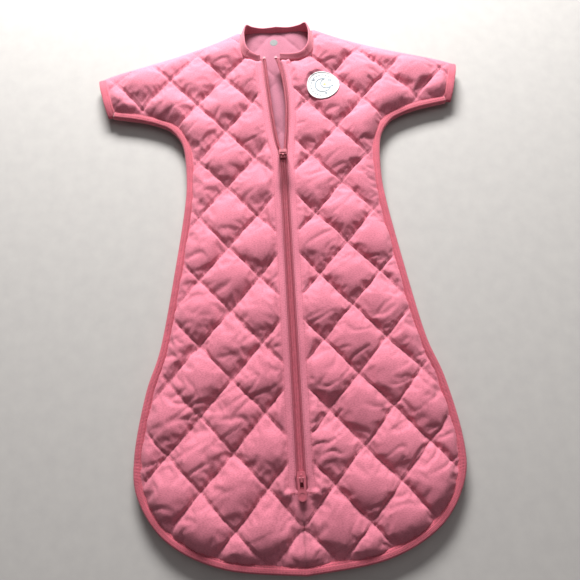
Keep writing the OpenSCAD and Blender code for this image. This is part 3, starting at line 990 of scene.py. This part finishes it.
def neck_rings(side):
    """The neck band's cross-sections from the zip to the middle of the back, how far along each is, and the
    first one that lies wholly outside the fold line."""
    seam, free = neck_stations(side)
    middle = (seam + free) / 2
    width = np.linalg.norm(free - seam, axis=1)
    across = unit(free - seam)
    out = np.cross(across, unit(np.gradient(middle, axis=0))) * side
    runs = distance_along(middle)
    a, u = band_profile(1.0, 2.9, (), power=3.0)
    rings = []
    for k, run in enumerate(runs):
        reach = width[k] + 2.4
        rows = (-0.5 * reach + 3.6, -0.5 * reach + 6.0)
        groove = 0.32 * sum(np.exp(-(((a * reach - row) / 0.6) ** 2)) for row in rows)
        rise = u * (1 + 0.05 * noise(np.array(run), np.array(0.7), 4.0, 8)) - np.sign(u) * groove
        rounded = min(1.0, 0.35 + run / 1.6)
        rise, reach = rise * rounded, reach * (0.9 + 0.1 * rounded)
        rings.append(middle[k] + a[:, None] * reach * across[k] + rise[:, None] * out[k])
    clear = np.minimum(seam[:, 0] * side - fold_x(seam[:, 1]), free[:, 0] * side - fold_x(free[:, 1])) > 1
    return np.array(rings), runs, int(np.argmax(clear))


def neck_piece(name, rings, runs):
    across, up = band_profile(1.0, 2.9, (), power=3.0)
    return banded(name, rings, runs, (across * 9, up), NECK_RIB, flip=name.startswith("left"))


# The band is cut where it crosses the fold lines, into two ends and the part round the back. Each end runs a
# little way inside the part round the back.
round_back = []
for side, word in SIDES.items():
    rings, runs, cut = neck_rings(side)
    end = rings[: cut + 2].copy()
    end[-1] = end[-1].mean(axis=0) + 0.94 * (end[-1] - end[-1].mean(axis=0))
    piece = neck_piece(word + "_neck_rib_end", end, runs[: cut + 2])
    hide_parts(word + "_neck_band_end")
    fold_over(piece)
    round_back.append((rings[cut:], runs[cut:]))
(left_rings, left_runs), (right_rings, right_runs) = round_back
piece = neck_piece(
    "neck_rib", np.vstack([right_rings, left_rings[-2::-1]]),
    np.concatenate([right_runs, 2 * left_runs[-1] - left_runs[-2::-1]]),
)
fixed(piece, "binding", "neck_band")

# ---- zip

ZIP_LOW = low("right_zip_tape")[1]
# The tape runs on a little below the zip, under the fronts.
TAPE_SPARE = 8


def tape(side):
    ys = np.arange(ZIP_LOW - TAPE_SPARE, ZIP_TOP + 0.01, 2.0)
    # Below the lower slider the tapes meet, so that nothing shows between them.
    edge = np.where(ys < low("lower_slider")[1] + 1.5, 0.1, zip_edge(side, ys) + 0.15)
    rings = []
    for y, x0 in zip(ys, edge):
        across = x0 + np.linspace(0, TAPE_W - 0.15, 7)
        row = np.full(len(across), y)
        wave = 0.06 * noise(row, across, 6, 4)
        upper, lower = (
            columns([across * side, row, z + wave]) for z in (TAPE_TOP_Z, low("right_zip_tape")[2])
        )
        rings.append(np.vstack([upper, lower[::-1]]))
    return mesh_object(SIDES[side] + "_tape", *swept(rings, flip=side > 0), [TAPE])


def coil(side):
    """The coil's turns, each a rounded loop over the tape with its head toward the other row."""
    pitch = 1.25
    ys = np.arange(ZIP_LOW + 0.6, ZIP_TOP - 3.4, pitch) + (0 if side < 0 else pitch / 2)
    z0, z1 = TAPE_TOP_Z + 0.05, COIL_TOP_Z
    # Half a turn in profile: up from the tape, over the top, and round the head.
    turn = ((3.0, 0.1), (2.7, 0.75), (1.7, 1.0), (0.7, 1.0), (0.1, 0.75), (-0.05, 0.35), (0.25, 0.05))
    wire, ring, parts = 0.36, round_points(6), []
    for y in ys:
        x0 = float(zip_edge(side, np.array(y)))
        rings = []
        for k, (across, up) in enumerate(turn):
            centre = np.array([x0 + across, y + 0.18 * (k / 6 - 0.5), z0 + wire + up * (z1 - z0 - 2 * wire)])
            before, after = turn[max(0, k - 1)], turn[min(len(turn) - 1, k + 1)]
            heading = unit(np.array([after[0] - before[0], 0, (after[1] - before[1]) * (z1 - z0)]))
            normal = np.cross(heading, (0, 1.0, 0))
            # The wire is pressed flatter, and so wider along the zip, over its head.
            flat = np.array([0, 1.35 if k >= 3 else 1.0, 0])
            rings.append([centre + wire * (c * flat + s * normal) for c, s in ring])
        parts.append(swept(np.array(rings) * (side, 1, 1), flip=side > 0))
    # The two sewing threads that hold the coil to the tape.
    for across in (1.5, 2.3):
        path_y = np.arange(ZIP_LOW + 0.4, ZIP_TOP - 3.4, 0.625)
        centre = columns(
            [zip_edge(side, path_y) + across, path_y, z1 - 0.12 + 0.10 * np.cos(path_y / pitch * 2 * np.pi)]
        )
        thread = np.insert(0.16 * round_points(5), 1, 0, axis=1)
        parts.append(swept((centre[:, None] + thread) * (side, 1, 1)))
    return mesh_object(SIDES[side] + "_coil", *joined(parts), [COIL])


for side, word in SIDES.items():
    piece = tape(side)
    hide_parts(word + "_zip_tape", word + "_lapel_zip_tape")
    fold_over(piece)
    piece = coil(side)
    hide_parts(word + "_zip_coil", word + "_lapel_zip_coil")
    fold_over(piece)

# ---- stitching


def stitches(name, places, headings, length, width, mat, lift=0.0):
    """Short lengths of thread, one for each place, each sunk at its ends."""
    parts = []
    ring = round_points(4, 0.78)
    for p, h in zip(places, headings):
        h = unit(h)
        across = unit(np.cross(UP, h))
        n = np.cross(h, across)
        rings = []
        for t, r, drop in ((-0.5, 0.45, -0.35), (-0.22, 1.0, 0.0), (0.22, 1.0, 0.0), (0.5, 0.45, -0.35)):
            c = p + h * (t * length) + n * (lift + drop * width)
            rings.append([c + width / 2 * r * (a * across + b * n) for a, b in ring])
        parts.append(swept(rings, flip=True))
    return mesh_object(name, *joined(parts), [mat])


def surface(side, points):
    """Height of the front's finished outside over points of the plan."""
    quilt = quilts[side]
    out = np.full(len(points), FRONT_Z)
    for k, (x, y) in enumerate(points):
        hit, place, _, _ = quilt.ray_cast((x * MM, y * MM, 0.06), (0, 0, -1))
        if hit:
            out[k] = place.z / MM
    return out


def quilting(side):
    """Places along every stitch line over one front."""
    pitch = 4.0
    places, headings = [], []
    for family in (1, -1):
        slope = np.array([DIAMOND_X, -family * DIAMOND_Y]) / DIAMOND_SIDE
        for line in range(-14, 24):
            # Each line crosses the row y = DIAMOND_Y0 at a whole number of diamonds.
            foot = np.array([2 * line * DIAMOND_X, DIAMOND_Y0])
            p = foot + np.arange(-900, 900, pitch)[:, None] * slope
            away = np.array([1 / DIAMOND_X, family / DIAMOND_Y]) / 2
            stray = -family * wobble(p[:, 0], p[:, 1])
            p = p + stray[:, None] * away / (away @ away)
            p = p[(p[:, 0] * side > 0) & (np.abs(p[:, 1]) < HALF_LENGTH)]
            if not len(p):
                continue
            off, below = zip_distance(side, p)
            side_d, shoulder_d = seam_distance(p)
            ok = front_keep(side)(p) & ((off > 9) | below) & (side_d > 10) & (shoulder_d > 3)
            ok &= (cuff_distance(p) > 11) & ~in_neck(p, -3)
            places.append(p[ok])
            headings.append(np.tile(slope, (ok.sum(), 1)))
    p, h = np.vstack(places), np.vstack(headings)
    z = surface(side, p)
    ahead = surface(side, p + h)
    return columns([p, z]), columns([h, ahead - z])


def placket(side):
    """Two rows of topstitch beside the zip."""
    places, headings = [], []
    for off in (1.6, 8.0):
        y = np.arange(ZIP_LOW + 2, ZIP_TOP - 6, 3.2)
        x = zip_edge(side, y) + SHELL_START + off
        flat = columns([x * side, y])
        z = surface(side, flat)
        ahead = surface(side, flat + (0, 1))
        lean = np.gradient(x, y)
        places.append(columns([x * side, y, z]))
        headings.append(columns([lean * side, np.ones_like(y), ahead - z]))
    # The bar tack across the zip's end.
    for row in (-5.6, -6.9):
        x = np.arange(1.0, SHELL_START + 9, 1.7) * side
        y = np.full_like(x, ZIP_BOTTOM + row)
        places.append(columns([x, y, surface(side, columns([x, y]))]))
        headings.append(np.tile([1.0, 0.12, 0.0], (len(x), 1)))
    return np.vstack(places), np.vstack(headings)


for side, word in SIDES.items():
    p, h = quilting(side)
    q, g = placket(side)
    at, heading = np.vstack([p, q]), np.vstack([h, g])
    # The dark quilting threads also paint the shade along the stitched creases.
    piece = stitches(word + "_quilt_threads", at, heading, 3.0, 0.5, THREAD, lift=0.02)
    fold_over(piece)

profile_x, profile_z = band_profile(*BINDING_SIZE)
upper = profile_z > 0
order = np.argsort(profile_x[upper])
places, headings = [], []
for offset in BINDING_ROWS:
    at = evenly(binding_path + binding_normals * offset, 3.4)
    heading = np.gradient(at, axis=0)
    at[:, 2] += np.interp(offset, profile_x[upper][order], profile_z[upper][order]) - 0.15
    places.append(at)
    headings.append(heading)
piece = stitches("binding_threads", np.vstack(places), np.vstack(headings), 2.5, 0.55, BAND_THREAD)
fixed(piece, "binding")

# ---- patch and label


def patch_height(points):
    return patch_terms(points) @ PATCH_CURVE


def closed_disc(name, radius, z_off, thickness, mat, n=72):
    points, faces = disc(PATCH_AT, radius, 16, n)
    z = patch_height(points) + z_off
    count = len(points)
    verts = np.vstack([columns([points, z]), columns([points, z - thickness])])
    rim = list(range(count - n, count))
    faces += [tuple(i + count for i in f[::-1]) for f in faces]
    faces += [(rim[k], rim[k] + count, rim[(k + 1) % n] + count, rim[(k + 1) % n]) for k in range(n)]
    return mesh_object(name, verts, faces, [mat])


def on_patch(points):
    """Points given from the patch's middle, lifted onto it."""
    p = np.asarray(points, float) + PATCH_AT
    return columns([p, patch_height(p) + 0.62])


def thick_line(points, r, closed=False, n=6):
    path = on_patch(points)
    ring = r * round_points(n)
    rings = [p + ring[:, :1] * a + 0.6 * ring[:, 1:] * UP for p, a in zip(path, normals_of(path, closed))]
    return swept(rings, closed)


patch = closed_disc("moon_patch", PATCH_R, 0.5, 0.7, PATCH)
fixed(patch, "patch", "chest_patch")

edge_line = thick_line(round_points(96) * (PATCH_R - 0.7), 0.85, closed=True)
rim_piece = mesh_object("patch_edge", *edge_line, [yarn("patch_edge_thread", (0.86, 0.87, 0.87))])
fixed(rim_piece, "patch")


def star(at, size):
    t = np.linspace(0, 2 * np.pi, 11)[:-1] + math.pi / 2
    r = np.where(np.arange(10) % 2 == 0, size, size * 0.42)
    return columns([np.cos(t) * r, np.sin(t) * r]) + at


def arc(radius, start, end, n, middle=(0, 0)):
    t = np.linspace(start, end, n)
    return columns([np.cos(t), np.sin(t)]) * radius + middle


moon_outer = arc(10.5, 0.75, 2 * math.pi - 0.75, 40)
moon_inner = arc(7.6, 2 * math.pi - 1.12, 1.12, 34, (5.2, 0))
moon = np.vstack([moon_outer, moon_inner]) @ np.array([[0.87, 0.5], [-0.5, 0.87]])
lines = [thick_line(moon, 0.6, closed=True)]
for at, size in (((9.5, 7.5), 2.6), ((12.5, -2.5), 1.7), ((3.0, -13.5), 1.7), ((-12.2, 8.6), 1.6)):
    lines.append(thick_line(star(at, size), 0.45, closed=True))
for t in np.linspace(0, 2 * np.pi, 25)[:-1]:
    lines.append(thick_line(arc(16.6, t - 0.06, t + 0.06, 3), 0.55))
embroidery = mesh_object("patch_embroidery", *joined(lines), [PATCH_BLUE])
fixed(embroidery, "patch")
gold_lines = [thick_line(star((2.2, 1.2), s), 0.5, closed=True) for s in (1.1, 2.1)]
gold_star = mesh_object("patch_gold_star", *joined(gold_lines), [PATCH_GOLD])
fixed(gold_star, "patch")

LABEL_AT, LABEL_R = round_node("neck_label")


def label_piece(n=48):
    points, faces = disc(LABEL_AT, LABEL_R, 6, n)
    z = back_top(*points.T, np.minimum(*seam_distance(points))) + 0.12
    z[-n:] -= 0.1
    return mesh_object("size_dot", columns([points, z]), faces, [LABEL])


fixed(label_piece(), "label", "neck_label")

# ---- sliders, pulls and stops, from the CAD

METAL_NODES = "upper_slider upper_pull lower_slider lower_pull left_top_stop right_top_stop bottom_stop"
for node in METAL_NODES.split():
    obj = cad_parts[node]
    obj.data.materials.clear()
    obj.data.materials.append(METAL)
    bevel = obj.modifiers.new("rounded", "BEVEL")
    bevel.width = 0.35 * MM
    bevel.segments = 3
    bevel.limit_method = "ANGLE"
    bevel.angle_limit = math.radians(35)
    obj.modifiers.new("normals", "WEIGHTED_NORMAL").keep_sharp = True

# ---- floor, light and camera


def floor():
    look = Look("floor_paper", (0.52, 0.51, 0.49), 0.9)
    grain = look.noise(look.solid(), 60, 6)
    look.paint(look.ramp(grain, (0.3, (0.505, 0.495, 0.48)), (0.7, (0.54, 0.53, 0.51))))
    bpy.ops.mesh.primitive_plane_add(size=8, location=(0, 0, -0.0004))
    plane = bpy.context.object
    plane.name = "floor"
    plane.data.materials.append(look.material)


floor()


def area_light(name, place, target, size, power, colour=(1, 1, 1)):
    data = bpy.data.lights.new(name, "AREA")
    data.shape = "RECTANGLE"
    data.size, data.size_y = size
    data.energy = power
    data.color = colour
    obj = placed(name, data)
    obj.location = place
    obj.rotation_mode = "QUATERNION"
    obj.rotation_quaternion = (Vector(target) - Vector(place)).to_track_quat("-Z", "Y")


area_light("window", (-0.06, 1.46, 0.74), (0, 0.0, 0), (0.8, 0.4), 63, (1.0, 0.98, 0.97))
area_light("fill", (0.3, 0.6, 1.3), (0, 0.1, 0), (1.2, 1.2), 3)
world = bpy.data.worlds.new("studio")
bpy.context.scene.world = world
world.use_nodes = True
world.node_tree.nodes["Background"].inputs["Color"].default_value = (0.98, 0.86, 0.87, 1)
world.node_tree.nodes["Background"].inputs["Strength"].default_value = 0.12

TILT, TURN, ROLL = math.radians(12.92), math.radians(2.81), math.radians(-0.35)
forward = Vector((math.sin(TURN) * math.sin(TILT), math.cos(TURN) * math.sin(TILT), -math.cos(TILT)))
across = Vector((math.cos(TURN), -math.sin(TURN), 0))
upward = across.cross(forward)
camera_data = bpy.data.cameras.new("camera")
camera_data.sensor_width = 36
camera_data.lens = 27.31
camera_data.clip_start, camera_data.clip_end = 0.01, 20
camera = placed("camera", camera_data)
turned = Matrix((across, upward, -forward)).transposed() @ Matrix.Rotation(ROLL, 3, "Z")
camera.matrix_world = Matrix.Translation((-0.0067, -0.158, 0.5436)) @ turned.to_4x4()
bpy.context.scene.camera = camera
bpy.context.scene.view_settings.view_transform = "Standard"
